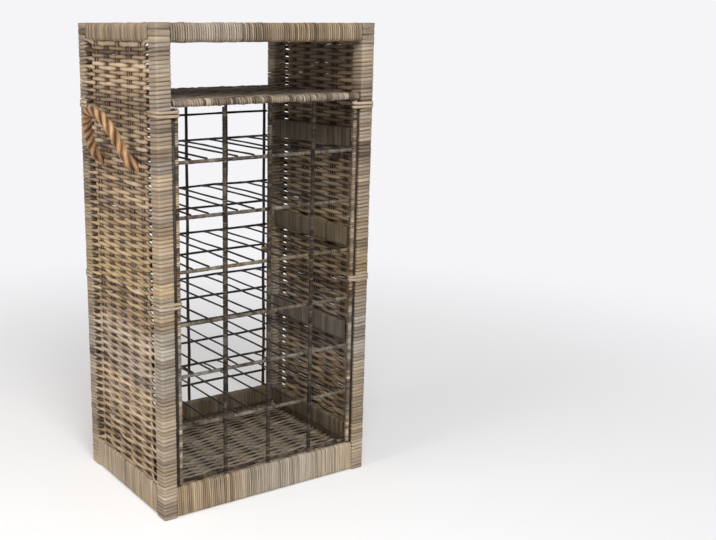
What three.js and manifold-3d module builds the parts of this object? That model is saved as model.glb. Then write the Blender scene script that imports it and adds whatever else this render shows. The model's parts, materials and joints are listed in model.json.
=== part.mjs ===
// Rattan wine rack: four wrapped posts and their rails, woven side panels, floor, shelf and top,
// a welded grid of rods that holds bottles lying down, and a rope handle on each side.
// Millimetres, +Z up. The front faces -Y, and the origin is under the middle of the base.

import * as THREE from 'three';
import { mergeVertices } from 'three/addons/utils/BufferGeometryUtils.js';
import Module from 'manifold-3d';

const wasm = await Module();
wasm.setup();

// Overall size of the case, without the handles
const HEIGHT = 1000;
const WIDTH = 515;
const DEPTH = 365;

// Clearance wherever two pieces meet
const SEAT_GAP = 0.3;

// Posts: a round rattan pole inside an oblong wrap of rattan core
const POST_W = 32;
const POST_D = 36;
const POST_ROUND = 4;
const POLE_D = 24;
const POLE_END_RECESS = 1;

// Rails: wrapped bars between the posts, a little behind the posts' outer faces
const RAIL_INSET = 1;
const RAIL_ROUND = 6;
const TOP_RAIL_H = 38;
const BASE_RAIL_H = 68;
const BASE_RAIL_T = 16;

// Woven sides and top: each row of strands passes in front of one stake and behind the next.
// A float is the stretch of strand that stands out in front of a stake.
const SIDE_PANEL_INSET = 2;
const TOP_PANEL_DROP = 3;
const SIDE_STAKES = 5;
const TOP_STAKES = 8;
const WEAVE_ROW = 8;
const WEAVE_T = 5;
const FLOAT_RISE = 5;

// Woven floor
const FLOOR_T = 10;
const FLOOR_TOP = 46;

// Shelf: its wrapped front and back rails carry the woven panel
const SHELF_T = 10;
const SHELF_BELOW_TOP = 150;
const SHELF_FRONT_D = 15;
const SHELF_BACK_D = 14;
const SHELF_RAIL_INSET = 1;

// Bottle cells: the rows share the height between the base rail and the shelf
const COLUMNS = 4;
const ROWS = 7;
const BOTTOM_ROW_LIFT = 19;

// Rods of the bottle rack
const UPRIGHT_D = 9;
const UPRIGHT_GAP = 6.5;
const EDGE_STRIP_T = 4;
const LEVEL_ROD_D = 8;
const BACK_UPRIGHT_D = 6.5;
const BACK_ROD_D = 5.5;
const SLAT_D = 4;
const SLAT_SPACING = 39;
const WELD_SINK = 0.8;
const ROD_OVERHANG = 4;

// Ladder rails inside each side panel, one beside every second level of the rack
const CROSS_RAIL_H = 44;
const CROSS_RAIL_RISE = 17;
const CROSS_RAIL_ROUND = 5;
const RAIL_EVERY_LEVELS = 2;
const BOTTOM_RAIL_LIFT = 16;

// Ties that bind the outer uprights to the posts
const TIE_T = 2;
const TIE_H = 14;
const UPPER_TIE_BELOW_SHELF = 19;
const LOWER_TIE_LEVEL = 4;
const LOWER_TIE_BELOW_STOP = 3.75;

// Rope handles
const ROPE_D = 21;
const HANDLE_SPAN = 163;
const HANDLE_REACH = 119;
const HANDLE_LEAN = THREE.MathUtils.degToRad(21);
const HANDLE_STANDOFF = 0.5;
const KNOT_D = 30;
const KNOT_L = 18;
const KNOT_BELOW_RAIL = 3;

// Facets
const CORNER_STEPS = 4;
const ROD_SIDES = 12;
const SLAT_SIDES = 6;
const ROUND_SIDES = 24;
const ROPE_SIDES = 12;
const ROPE_STEPS = 22;
const KNOT_STEPS = 6;

// Places that several pieces share
const postInnerX = WIDTH / 2 - POST_W;
const postInnerY = DEPTH / 2 - POST_D;
const postX = WIDTH / 2 - POST_W / 2;
const postY = DEPTH / 2 - POST_D / 2;
const betweenPostsX = 2 * (postInnerX - SEAT_GAP);
const betweenPostsY = 2 * (postInnerY - SEAT_GAP);
const topRailZ = HEIGHT - TOP_RAIL_H / 2;
const shelfZ = HEIGHT - SHELF_BELOW_TOP;
const rowPitch = (shelfZ - BASE_RAIL_H - BOTTOM_ROW_LIFT) / ROWS;
const handleZ = levelZ(1) + CROSS_RAIL_RISE - CROSS_RAIL_H / 2 - KNOT_BELOW_RAIL - KNOT_D / 2;
const wovenT = WEAVE_T + FLOAT_RISE;
const sidePanelOuterX = WIDTH / 2 - SIDE_PANEL_INSET;
const sidePanelInnerX = sidePanelOuterX - wovenT;
const uprightX = postInnerX - UPRIGHT_GAP - UPRIGHT_D / 2;
const columnPitch = (2 * uprightX) / COLUMNS;
const uprightY = -(DEPTH / 2 - TIE_T - SEAT_GAP - UPRIGHT_D / 2);
const levelFrontY = uprightY + UPRIGHT_D / 2 + SEAT_GAP + LEVEL_ROD_D / 2;
const backUprightY = DEPTH / 2 - TIE_T - SEAT_GAP - BACK_UPRIGHT_D / 2;
const levelBackY = backUprightY - BACK_UPRIGHT_D / 2 - SEAT_GAP - BACK_ROD_D / 2;
const stopY = backUprightY - BACK_UPRIGHT_D / 2 - BACK_ROD_D / 2 + WELD_SINK;
const levelRodLength = 2 * (uprightX + ROD_OVERHANG);
const handleX = sidePanelOuterX + HANDLE_STANDOFF + ROPE_D / 2;

const SIDES = [
  { name: 'left', sign: -1 },
  { name: 'right', sign: 1 },
];
const ENDS = [
  { name: 'front', sign: -1 },
  { name: 'back', sign: 1 },
];

// Height of a rack level, counted from 1 under the shelf
function levelZ(level) {
  return shelfZ - level * rowPitch;
}

// Height of the stop rod across the middle of a row
function stopZ(row) {
  return levelZ(row) + rowPitch / 2;
}

const rack = new THREE.Group();

const FINISHES = {
  wrap: { color: 0xa8967c, roughness: 0.75, metalness: 0 },
  pole: { color: 0xb39a6b, roughness: 0.7, metalness: 0 },
  weave: { color: 0x9f8c73, roughness: 0.8, metalness: 0 },
  wrappedRod: { color: 0x7d6c58, roughness: 0.75, metalness: 0 },
  iron: { color: 0x1d1815, roughness: 0.55, metalness: 0.6 },
  tie: { color: 0xb8a488, roughness: 0.75, metalness: 0 },
  rope: { color: 0xb08a4f, roughness: 0.9, metalness: 0 },
};

// Adds one named piece to the rack and gives it back, to be placed
function addPiece(name, geometry, finish) {
  const material = new THREE.MeshStandardMaterial(FINISHES[finish]);
  const mesh = new THREE.Mesh(geometry, material);
  mesh.name = name;
  rack.add(mesh);
  return mesh;
}

// Boolean joins
function toSolid(geometry) {
  const bare = geometry.clone();
  bare.deleteAttribute('normal');
  bare.deleteAttribute('uv');
  const merged = mergeVertices(bare);
  return new wasm.Manifold(new wasm.Mesh({
    numProp: 3,
    vertProperties: new Float32Array(merged.attributes.position.array),
    triVerts: new Uint32Array(merged.index.array),
  }));
}

function fromSolid(solid) {
  const mesh = solid.getMesh();
  const geometry = new THREE.BufferGeometry();
  geometry.setAttribute('position', new THREE.BufferAttribute(mesh.vertProperties, 3));
  geometry.setIndex(new THREE.BufferAttribute(mesh.triVerts, 1));
  geometry.computeVertexNormals();
  return geometry;
}

function join(geometries) {
  return fromSolid(geometries.map(toSolid).reduce((whole, next) => whole.add(next)));
}

function cut(geometry, tools) {
  return fromSolid(tools.map(toSolid).reduce((whole, tool) => whole.subtract(tool), toSolid(geometry)));
}

// Outlines
function roundedRectangle(width, height, radius) {
  const x = width / 2 - radius;
  const y = height / 2 - radius;
  const shape = new THREE.Shape();
  shape.absarc(x, -y, radius, -Math.PI / 2, 0);
  shape.absarc(x, y, radius, 0, Math.PI / 2);
  shape.absarc(-x, y, radius, Math.PI / 2, Math.PI);
  shape.absarc(-x, -y, radius, Math.PI, 1.5 * Math.PI);
  return new THREE.Shape(shape.getPoints(CORNER_STEPS / 2));
}

function polygon(corners) {
  return new THREE.Shape(corners.map(([x, y]) => new THREE.Vector2(x, y)));
}

function rectangle(width, height) {
  const x = width / 2;
  const y = height / 2;
  return polygon([[-x, -y], [x, -y], [x, y], [-x, y]]);
}

// A plan from one front edge to one back edge, with a notch round each corner post
function notchedPlan(wideX, front, back) {
  const notchX = betweenPostsX / 2;
  const notchY = betweenPostsY / 2;
  return polygon([
    [-wideX, -notchY], [-notchX, -notchY], [-notchX, front],
    [notchX, front], [notchX, -notchY], [wideX, -notchY],
    [wideX, notchY], [notchX, notchY], [notchX, back],
    [-notchX, back], [-notchX, notchY], [-wideX, notchY],
  ]);
}

function roundHole(x, y, diameter) {
  const circle = new THREE.Path();
  circle.absarc(x, y, diameter / 2, 0, 2 * Math.PI, true);
  return new THREE.Path(circle.getPoints(ROUND_SIDES / 2).slice(1));
}

// An outline pushed along Z, centred on its own middle
function bar(shape, length) {
  const geometry = new THREE.ExtrudeGeometry(shape, {
    depth: length,
    bevelEnabled: false,
    curveSegments: CORNER_STEPS,
  });
  geometry.translate(0, 0, -length / 2);
  return geometry;
}

// A round rod along Y, centred on its own middle
function rod(diameter, length, sides = ROD_SIDES) {
  return new THREE.CylinderGeometry(diameter / 2, diameter / 2, length, sides);
}

function rodAlongX(diameter, length, sides = ROD_SIDES) {
  return rod(diameter, length, sides).rotateZ(Math.PI / 2);
}

function rodAlongZ(diameter, length, sides = ROD_SIDES) {
  return rod(diameter, length, sides).rotateX(Math.PI / 2);
}

// A bar laid along X, with its outline's width upright and its height across
function layAlongX(mesh) {
  mesh.rotation.y = Math.PI / 2;
  return mesh;
}

// A bar laid along Y, with its outline's width across and its height upright
function layAlongY(mesh) {
  mesh.rotation.x = -Math.PI / 2;
  return mesh;
}

// Corner posts: the wrap is a sleeve, and the pole stands inside it
function addPosts() {
  for (const side of SIDES) {
    for (const end of ENDS) {
      const sleeve = roundedRectangle(POST_W, POST_D, POST_ROUND);
      sleeve.holes.push(roundHole(0, 0, POLE_D + 2 * SEAT_GAP));
      const wrap = addPiece(`post_wrap_${end.name}_${side.name}`, bar(sleeve, HEIGHT), 'wrap');
      wrap.position.set(side.sign * postX, end.sign * postY, HEIGHT / 2);
      const core = rodAlongZ(POLE_D, HEIGHT - 2 * POLE_END_RECESS, ROUND_SIDES);
      const pole = addPiece(`post_pole_${end.name}_${side.name}`, core, 'pole');
      pole.position.copy(wrap.position);
    }
  }
}

// Top rails: as thick as the posts, flush with their inner faces
function addTopRails() {
  const endT = POST_D - RAIL_INSET;
  const endShape = roundedRectangle(TOP_RAIL_H, endT, RAIL_ROUND);
  for (const end of ENDS) {
    const rail = layAlongX(addPiece(`top_rail_${end.name}`, bar(endShape, betweenPostsX), 'wrap'));
    rail.position.set(0, end.sign * (postInnerY + endT / 2), topRailZ);
  }
  const sideT = POST_W - RAIL_INSET;
  const sideShape = roundedRectangle(sideT, TOP_RAIL_H, RAIL_ROUND);
  for (const side of SIDES) {
    const rail = layAlongY(addPiece(`top_rail_${side.name}`, bar(sideShape, betweenPostsY), 'wrap'));
    rail.position.set(side.sign * (postInnerX + sideT / 2), 0, topRailZ);
  }
}

// Base rails: a tall, thin skirt that stands on the ground with the posts
function addBaseRails() {
  const shape = roundedRectangle(BASE_RAIL_H, BASE_RAIL_T, RAIL_ROUND);
  for (const end of ENDS) {
    const rail = layAlongX(addPiece(`base_rail_${end.name}`, bar(shape, betweenPostsX), 'wrap'));
    rail.position.set(0, end.sign * (DEPTH / 2 - RAIL_INSET - BASE_RAIL_T / 2), BASE_RAIL_H / 2);
  }
  const sideShape = roundedRectangle(BASE_RAIL_T, BASE_RAIL_H, RAIL_ROUND);
  for (const side of SIDES) {
    const rail = layAlongY(addPiece(`base_rail_${side.name}`, bar(sideShape, betweenPostsY), 'wrap'));
    rail.position.set(side.sign * (WIDTH / 2 - RAIL_INSET - BASE_RAIL_T / 2), 0, BASE_RAIL_H / 2);
  }
}

// A woven wall across X, centred on its own middle: flat behind, and in front a float on every
// second crossing of stakes and rows, with valleys in between
function wovenWall(stakes, width, height) {
  const rows = Math.round(height / WEAVE_ROW);
  const rowHeight = height / rows;
  const stakeSpacing = width / (stakes + 0.5);

  // A crossing, counted from 1, or a point of the wall's edge beyond the last one
  function crossing(stake, row) {
    const inside = stake > 0 && stake <= stakes && row > 0 && row <= rows;
    const rise = inside && (stake + row) % 2 === 0 ? FLOAT_RISE : 0;
    const y = (stake - (stakes + 1) / 2) * stakeSpacing;
    const z = (row - (rows + 1) / 2) * rowHeight;
    return new THREE.Vector3(
      wovenT / 2 - FLOAT_RISE + rise,
      THREE.MathUtils.clamp(y, -width / 2, width / 2),
      THREE.MathUtils.clamp(z, -height / 2, height / 2),
    );
  }

  const points = [];
  for (let stake = 0; stake <= stakes; stake += 1) {
    for (let row = 0; row <= rows; row += 1) {
      const a = crossing(stake, row);
      const b = crossing(stake + 1, row);
      const c = crossing(stake + 1, row + 1);
      const d = crossing(stake, row + 1);
      const foldsFromA = (stake + row) % 2 !== 0;
      points.push(...(foldsFromA ? [a, b, c, a, c, d] : [a, b, d, b, c, d]));
    }
  }

  // Each side of the edge is a fan from the corner of the back where that side starts
  const corners = [[0, 0], [stakes + 1, 0], [stakes + 1, rows + 1], [0, rows + 1]];
  const behind = corners.map(([stake, row]) => crossing(stake, row).setX(-wovenT / 2));
  corners.forEach(([stake, row], index) => {
    const next = (index + 1) % corners.length;
    const [endStake, endRow] = corners[next];
    const steps = Math.max(Math.abs(endStake - stake), Math.abs(endRow - row));
    const along = [];
    for (let step = 0; step <= steps; step += 1) {
      const share = step / steps;
      along.push(crossing(stake + (endStake - stake) * share, row + (endRow - row) * share));
    }
    for (let step = 0; step < steps; step += 1) {
      points.push(along[step], behind[index], along[step + 1]);
    }
    points.push(along[steps], behind[index], behind[next]);
  });
  points.push(behind[0], behind[3], behind[2], behind[0], behind[2], behind[1]);
  return new THREE.BufferGeometry().setFromPoints(points);
}

// Facets with edges of their own, so that the relief shows
function facet(geometry) {
  const facets = geometry.toNonIndexed();
  facets.computeVertexNormals();
  return facets;
}

// Top and floor: woven panels that fill their frames, the floor notched round the posts
function addTopAndFloor() {
  const lid = facet(join([wovenWall(TOP_STAKES, betweenPostsX, betweenPostsY)]));
  const top = addPiece('top_panel', lid.rotateY(-Math.PI / 2).rotateZ(-Math.PI / 2), 'weave');
  top.position.z = HEIGHT - TOP_PANEL_DROP - wovenT / 2;

  const wideX = WIDTH / 2 - RAIL_INSET - BASE_RAIL_T - SEAT_GAP;
  const wideY = DEPTH / 2 - RAIL_INSET - BASE_RAIL_T - SEAT_GAP;
  const plan = notchedPlan(wideX, -wideY, wideY);
  const floor = addPiece('floor_panel', bar(plan, FLOOR_T), 'weave');
  floor.position.z = FLOOR_TOP - FLOOR_T / 2;
}

// Side panels: woven walls between the posts, with two holes for the rope
function addSidePanels() {
  const bottom = BASE_RAIL_H + SEAT_GAP;
  const height = HEIGHT - TOP_RAIL_H - SEAT_GAP - bottom;
  const middle = bottom + height / 2;
  const hole = rodAlongX(ROPE_D + 2 * SEAT_GAP, 2 * wovenT, ROUND_SIDES);
  const holes = ENDS.map((end) => hole.clone().translate(0, end.sign * HANDLE_SPAN / 2, handleZ - middle));
  const wall = facet(cut(wovenWall(SIDE_STAKES, betweenPostsY, height), holes));
  for (const side of SIDES) {
    const panel = addPiece(`side_panel_${side.name}`, wall.clone(), 'weave');
    panel.position.set(side.sign * (sidePanelInnerX + wovenT / 2), 0, middle);
    panel.rotation.z = side.sign > 0 ? 0 : Math.PI;
  }
}

// Ladder rails between the posts, from the posts' inner faces out to the plane of the base rails
function addCrossRails() {
  const sideT = WIDTH / 2 - RAIL_INSET - BASE_RAIL_T - SEAT_GAP - postInnerX;
  const backT = DEPTH / 2 - RAIL_INSET - BASE_RAIL_T - SEAT_GAP - postInnerY;
  const bottomZ = FLOOR_TOP + BOTTOM_RAIL_LIFT + CROSS_RAIL_H / 2;
  const heights = [];
  for (let level = 1; level < ROWS; level += RAIL_EVERY_LEVELS) {
    heights.push(levelZ(level) + CROSS_RAIL_RISE);
  }
  heights.push(bottomZ);
  const sideShape = roundedRectangle(sideT, CROSS_RAIL_H, CROSS_RAIL_ROUND);
  for (const side of SIDES) {
    heights.forEach((height, index) => {
      const name = `cross_rail_${side.name}_${index + 1}`;
      const rail = layAlongY(addPiece(name, bar(sideShape, betweenPostsY), 'wrap'));
      rail.position.set(side.sign * (postInnerX + sideT / 2), 0, height);
    });
  }
  const backShape = roundedRectangle(CROSS_RAIL_H, backT, CROSS_RAIL_ROUND);
  const back = layAlongX(addPiece('cross_rail_back', bar(backShape, betweenPostsX), 'wrap'));
  back.position.set(0, postInnerY + backT / 2, bottomZ);
}

// Shelf: a woven panel between two round rails, reaching out to the side panels
function addShelf() {
  const frontY = -(DEPTH / 2 - SHELF_RAIL_INSET - SHELF_FRONT_D / 2);
  const backY = DEPTH / 2 - SHELF_RAIL_INSET - SHELF_BACK_D / 2;
  const frontRod = rodAlongX(SHELF_FRONT_D, betweenPostsX, ROUND_SIDES);
  const front = addPiece('shelf_rail_front', frontRod, 'wrap');
  front.position.set(0, frontY, shelfZ);
  const backRod = rodAlongX(SHELF_BACK_D, betweenPostsX, ROUND_SIDES);
  const back = addPiece('shelf_rail_back', backRod, 'wrap');
  back.position.set(0, backY, shelfZ);

  const frontEdge = frontY + SHELF_FRONT_D / 2 + SEAT_GAP;
  const backEdge = backY - SHELF_BACK_D / 2 - SEAT_GAP;
  const plan = notchedPlan(sidePanelInnerX - SEAT_GAP, frontEdge, backEdge);
  const panel = addPiece('shelf_panel', bar(plan, SHELF_T), 'weave');
  panel.position.z = shelfZ;
}

// Rack levels: two slats for each bottle, welded on top of a front rod and a back rod
function addRackLevels() {
  const slatLength = levelBackY - levelFrontY + BACK_ROD_D;
  const slatMiddle = (levelBackY + levelFrontY) / 2;
  const frontDrop = (SLAT_D + LEVEL_ROD_D) / 2 - WELD_SINK;
  const backDrop = (SLAT_D + BACK_ROD_D) / 2 - WELD_SINK;
  const rods = [
    rodAlongX(LEVEL_ROD_D, levelRodLength).translate(0, levelFrontY, -frontDrop),
    rodAlongX(BACK_ROD_D, levelRodLength).translate(0, levelBackY, -backDrop),
  ];
  for (let column = 0; column < COLUMNS; column += 1) {
    const middle = -uprightX + (column + 0.5) * columnPitch;
    for (const side of SIDES) {
      const x = middle + side.sign * SLAT_SPACING / 2;
      rods.push(rod(SLAT_D, slatLength, SLAT_SIDES).translate(x, slatMiddle, 0));
    }
  }
  const geometry = join(rods);
  for (let level = 1; level < ROWS; level += 1) {
    const grille = addPiece(`rack_level_${level}`, geometry.clone(), 'iron');
    grille.position.z = levelZ(level);
  }
  const sill = addPiece('front_sill_rod', rodAlongX(LEVEL_ROD_D, levelRodLength), 'wrappedRod');
  sill.position.set(0, levelFrontY, BASE_RAIL_H + SEAT_GAP + LEVEL_ROD_D / 2);
}

// Front uprights: wrapped rods from the base rail to the shelf, one beside each column.
// A strip along each outer upright closes the space to its post.
function addFrontUprights() {
  const bottom = BASE_RAIL_H + SEAT_GAP;
  const top = shelfZ - SHELF_FRONT_D / 2 - SEAT_GAP;
  const stripW = postInnerX - uprightX - SEAT_GAP;
  const strip = bar(rectangle(stripW, EDGE_STRIP_T), top - bottom).translate(stripW / 2, 0, 0);
  const plain = rodAlongZ(UPRIGHT_D, top - bottom);
  const edged = join([plain, strip]);
  for (let index = 0; index <= COLUMNS; index += 1) {
    const outer = index === 0 || index === COLUMNS;
    const name = `front_upright_${index + 1}`;
    const upright = addPiece(name, (outer ? edged : plain).clone(), 'wrappedRod');
    upright.position.set(-uprightX + index * columnPitch, uprightY, (top + bottom) / 2);
    upright.rotation.z = index === 0 ? Math.PI : 0;
  }
}

// Back grille: bare uprights with a stop rod welded across the middle of each row
function addBackGrille() {
  const bottom = BASE_RAIL_H + SEAT_GAP;
  const top = shelfZ - SHELF_BACK_D / 2 - SEAT_GAP;
  const rods = [];
  for (let index = 0; index <= COLUMNS; index += 1) {
    const upright = rodAlongZ(BACK_UPRIGHT_D, top - bottom);
    rods.push(upright.translate(-uprightX + index * columnPitch, backUprightY, (top + bottom) / 2));
  }
  for (let row = 1; row <= ROWS; row += 1) {
    const stop = rodAlongX(BACK_ROD_D, levelRodLength, SLAT_SIDES);
    rods.push(stop.translate(0, stopY, stopZ(row)));
  }
  addPiece('back_grille', join(rods), 'iron');
}

// The outline of a tie: a strap round a rod at the origin, with both tails at a post face at +X
function tieOutline(rodDiameter) {
  const inner = rodDiameter / 2 + SEAT_GAP;
  const outer = inner + TIE_T;
  const reach = postInnerX - uprightX - SEAT_GAP;
  const shape = new THREE.Shape();
  shape.moveTo(reach, -inner);
  shape.lineTo(0, -inner);
  shape.absarc(0, 0, inner, -Math.PI / 2, Math.PI / 2, true);
  shape.lineTo(reach, inner);
  shape.lineTo(reach, outer);
  shape.lineTo(0, outer);
  shape.absarc(0, 0, outer, Math.PI / 2, 1.5 * Math.PI);
  shape.lineTo(reach, -outer);
  shape.closePath();
  return shape;
}

function addTies() {
  const lowerDrop = BACK_ROD_D / 2 + LOWER_TIE_BELOW_STOP + TIE_H / 2;
  const heights = [
    { name: 'upper', z: shelfZ - UPPER_TIE_BELOW_SHELF },
    { name: 'lower', z: stopZ(LOWER_TIE_LEVEL) - lowerDrop },
  ];
  const rods = { front: UPRIGHT_D, back: BACK_UPRIGHT_D };
  const places = { front: uprightY, back: backUprightY };
  for (const end of ENDS) {
    const outline = tieOutline(rods[end.name]);
    for (const side of SIDES) {
      for (const height of heights) {
        const name = `rod_tie_${end.name}_${side.name}_${height.name}`;
        const tie = addPiece(name, bar(outline, TIE_H), 'tie');
        tie.position.set(side.sign * uprightX, places[end.name], height.z);
        tie.rotation.z = side.sign > 0 ? 0 : Math.PI;
      }
    }
  }
}

// Half an ellipse standing on its two feet, which are on the handle's hinge line
class HandleArch extends THREE.Curve {
  getPoint(t, target = new THREE.Vector3()) {
    const angle = Math.PI * t;
    const across = -HANDLE_SPAN / 2 * Math.cos(angle);
    return target.set(0, across, HANDLE_REACH * Math.sin(angle));
  }
}

// Handles: the rope arch swings on its feet, and each end goes through the panel to a knot
function addHandles() {
  const circle = new THREE.Shape();
  circle.absarc(0, 0, ROPE_D / 2, 0, 2 * Math.PI);
  const section = new THREE.Shape(circle.getPoints(ROPE_SIDES / 2).slice(1));
  const arch = new THREE.ExtrudeGeometry(section, {
    steps: ROPE_STEPS,
    extrudePath: new HandleArch(),
  });
  const foot = new THREE.SphereGeometry(ROPE_D / 2, ROPE_SIDES, KNOT_STEPS);
  const feet = ENDS.map((end) => foot.clone().translate(0, end.sign * HANDLE_SPAN / 2, 0));
  const rope = join([arch, ...feet]);

  const knot = new THREE.LatheGeometry(knotProfile(), ROPE_SIDES);
  for (const side of SIDES) {
    const handle = addPiece(`rope_handle_${side.name}`, rope.clone(), 'rope');
    handle.position.set(side.sign * handleX, 0, handleZ);
    handle.rotation.y = side.sign * HANDLE_LEAN;
    for (const end of ENDS) {
      const stopper = addPiece(`rope_knot_${side.name}_${end.name}`, knot.clone(), 'rope');
      stopper.position.set(side.sign * sidePanelOuterX, end.sign * HANDLE_SPAN / 2, handleZ);
      stopper.rotation.z = side.sign * Math.PI / 2;
    }
  }
}

// A rope end through the panel, then a round stopper knot against the panel's inner face
function knotProfile() {
  const neck = wovenT + SEAT_GAP;
  const points = [
    new THREE.Vector2(0, 0),
    new THREE.Vector2(ROPE_D / 2, 0),
    new THREE.Vector2(ROPE_D / 2, neck),
  ];
  const rise = (KNOT_D - ROPE_D) / 2;
  for (let step = 1; step < KNOT_STEPS; step += 1) {
    const angle = Math.PI * step / KNOT_STEPS;
    const along = neck + KNOT_L * (1 - Math.cos(angle)) / 2;
    points.push(new THREE.Vector2(ROPE_D / 2 + rise * Math.sin(angle), along));
  }
  points.push(new THREE.Vector2(ROPE_D / 2, neck + KNOT_L));
  points.push(new THREE.Vector2(0, neck + KNOT_L));
  return points;
}

addPosts();
addTopRails();
addBaseRails();
addTopAndFloor();
addSidePanels();
addCrossRails();
addShelf();
addRackLevels();
addFrontUprights();
addBackGrille();
addTies();
addHandles();

export default rack;
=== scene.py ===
"""Rattan wine rack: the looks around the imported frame. Metres, +Z up, the open front towards -Y."""

import json
import math

import bpy
import numpy as np
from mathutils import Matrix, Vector


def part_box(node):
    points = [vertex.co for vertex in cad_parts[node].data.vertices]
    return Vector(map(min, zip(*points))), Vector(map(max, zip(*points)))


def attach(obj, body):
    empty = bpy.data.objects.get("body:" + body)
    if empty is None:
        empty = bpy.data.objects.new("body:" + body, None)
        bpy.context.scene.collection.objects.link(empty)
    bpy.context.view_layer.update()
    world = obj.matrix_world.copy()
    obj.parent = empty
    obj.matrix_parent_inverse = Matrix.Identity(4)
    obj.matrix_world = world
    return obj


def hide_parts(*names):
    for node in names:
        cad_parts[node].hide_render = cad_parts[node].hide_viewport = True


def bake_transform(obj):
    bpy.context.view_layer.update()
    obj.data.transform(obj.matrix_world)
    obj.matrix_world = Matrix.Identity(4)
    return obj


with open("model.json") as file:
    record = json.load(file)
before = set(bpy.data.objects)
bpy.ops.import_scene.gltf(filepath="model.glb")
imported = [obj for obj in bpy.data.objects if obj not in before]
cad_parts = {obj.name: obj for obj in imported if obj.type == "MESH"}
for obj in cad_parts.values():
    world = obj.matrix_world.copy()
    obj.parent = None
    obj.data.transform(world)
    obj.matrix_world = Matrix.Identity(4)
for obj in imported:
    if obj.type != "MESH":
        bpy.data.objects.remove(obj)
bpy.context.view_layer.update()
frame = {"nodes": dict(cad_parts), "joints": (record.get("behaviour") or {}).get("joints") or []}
rng = np.random.default_rng(11)

MM = 0.001
X, Y, Z = range(3)
UP = (0, 0, 1)
SIDES = (("left", -1), ("right", 1))
ENDS = (("front", -1), ("back", 1))

# One row of the side weave is one turn of the post wraps
ROWS = 112
panel_low, panel_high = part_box("side_panel_right")
ROW = (panel_high.z - panel_low.z) / ROWS

# Strands: half their thickness, and half the width of those that are wider
POST_TURN = 1.5 * MM
SHELF_TURN = 1.3 * MM
ROD_TURN = 0.9 * MM
WEFT = 2.4 * MM
STAKE = 1.15 * MM
TIE = 1.2 * MM
TIE_WIDE = 3.2 * MM
ROPE_STRAND = 5.3 * MM
COIL = 4.8 * MM
COIL_WIDE = 5.4 * MM
PLUG = 7 * MM

# Posts
POST_CORNER = 3 * MM

# Rails: pitch of the turns, half the thickness of a strand, and radius of the rail's edges
TOP_RAIL = (5.2 * MM, 1.7 * MM, 8 * MM)
BASE_RAIL = (4.8 * MM, 1.4 * MM, 6 * MM)
CROSS_RAIL = (5.0 * MM, 0.9 * MM, 4.5 * MM)
CROSS_RAILS = 4
# Pitch of the turns on the shelf rails and on the rods
SHELF_PITCH = 5.6 * MM
ROD_PITCH = 4.6 * MM
# Rails go on under the rounded corners of the posts
RAIL_OVERRUN = 2.5 * MM

# Woven panels
SIDE_STAKES = 5
FLAT_STAKES = 8
STAKE_PAIR = 7.5 * MM
STAKE_POINTS = 60
SIDE_WEFT_WIDE = 4.45 * MM
FLAT_PITCH = 8.0 * MM
SHELF_WEFT_PITCH = 7.4 * MM
# Half the width of a weft, as a share of the pitch
FLAT_WEFT_SHARE = 0.54
WEFT_STEP = 4.2 * MM
WEFT_SWING = WEFT + 0.1 * MM
# Below 1, a weft runs flat past the stakes and steep between them
WEFT_WAVE = 0.6
# Shares by which a weft is wider before the stakes, behind them, and at the panel's lower and upper rim
SWELL_BEFORE, SWELL_BEHIND, SWELL_RIM = 0.06, 0.28, 0.2
RIM_LIFT = 1 * MM
# The higher, the shorter is the painted shade on a weft at each pair of stakes
SLOT_SHADE_EDGE = 12
# Wefts beside the posts: how far they run on, their depth there, and where those on a post sink in
ON_POST, BEHIND_POST = 11 * MM, 1 * MM
ON_POST_DEPTH, BEHIND_POST_DEPTH = 5.4 * MM, -7 * MM
SINK, SINK_FROM, SINK_OVER = 4 * MM, 4 * MM, 7 * MM
# Near the lower and the upper rim, about so many rows bend towards the rim at the posts
BENT_ROWS = 4
BENT_LIFT = 7 * MM
POST_TAPER = 0.2

# Bottle rack: radii of its rods
SLAT = 2.0 * MM
BACK_ROD = 2.75 * MM
FRONT_ROD = 4.0 * MM
BACK_UPRIGHT = 3.6 * MM
# Its cells, its slats, the unevenness of its rods, and the strips beside the outer uprights
COLUMNS = 4
LEVELS = 6
SLATS_APART = 39 * MM
SLAT_OVERHANG = 2 * MM
SLAT_SINK = 3 * MM
WELD = 0.8 * MM
ROD_BEND = 0.5 * MM
ROD_STEP = 14 * MM
STRIP_THICK = 4 * MM
STRIP_GAP = 0.4 * MM

# Ties
TIES_APART = 7.2 * MM
TIE_BEND = 4 * MM
TIE_PROUD = 0.7 * MM
TIE_INSET = 0.9 * MM

# Rope handles
HANDLE_LEAN = math.radians(21)
HANDLE_HALF_SPAN = 81.5 * MM
HANDLE_REACH = 119 * MM
# The feet of the rope: where they leave the arch, their ends inside the panel, and the bend between
FOOT_RISE = 28 * MM
FOOT_INSIDE, FOOT_DROP = 12 * MM, 1 * MM
BEND_OUT, BEND_RISE = 1 * MM, 8 * MM
ROPE_STRAND_AWAY = 5.5 * MM
ROPE_LAY = 76 * MM
ROPE_POINTS = 230
ROPE_SIDES = 20
ROPE_SPLAY = 0.15
ROPE_SPLAY_LENGTH = 30 * MM
YARNS = 7
YARN_DEPTH = 0.05
YARN_TWIST = 300
KNOT_SIDES = 14
KNOT_TURNS = 2.3
KNOT_RADIUS = 8.5 * MM
KNOT_WOBBLE = 1.2 * MM
# The knots sit inside the case: their rope is darker by this, painted shade
KNOT_SHADE = -0.5
# Outwards from a knot's inner end: where its coil starts and how long it is, and the ends of its plug
COIL_START, COIL_LENGTH = 5.5 * MM, 8 * MM
PLUG_ENDS = (1 * MM, 20 * MM)

# Bake map: strands lie one after the other in strips, with gaps between them
MAP_GAP = 2 * MM
MAP_OVERHANG = 12 * MM
MAP_MARGIN = 0.06
MAP_SLACK = 1.6

# Each strand starts at another place in the grain, up to so many metres along it
GRAIN_LENGTH = 5

# Turns side by side are a little larger than their pitch, so that no gap shows between them
SNUG = np.full((1, 8), 1.05)
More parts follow.
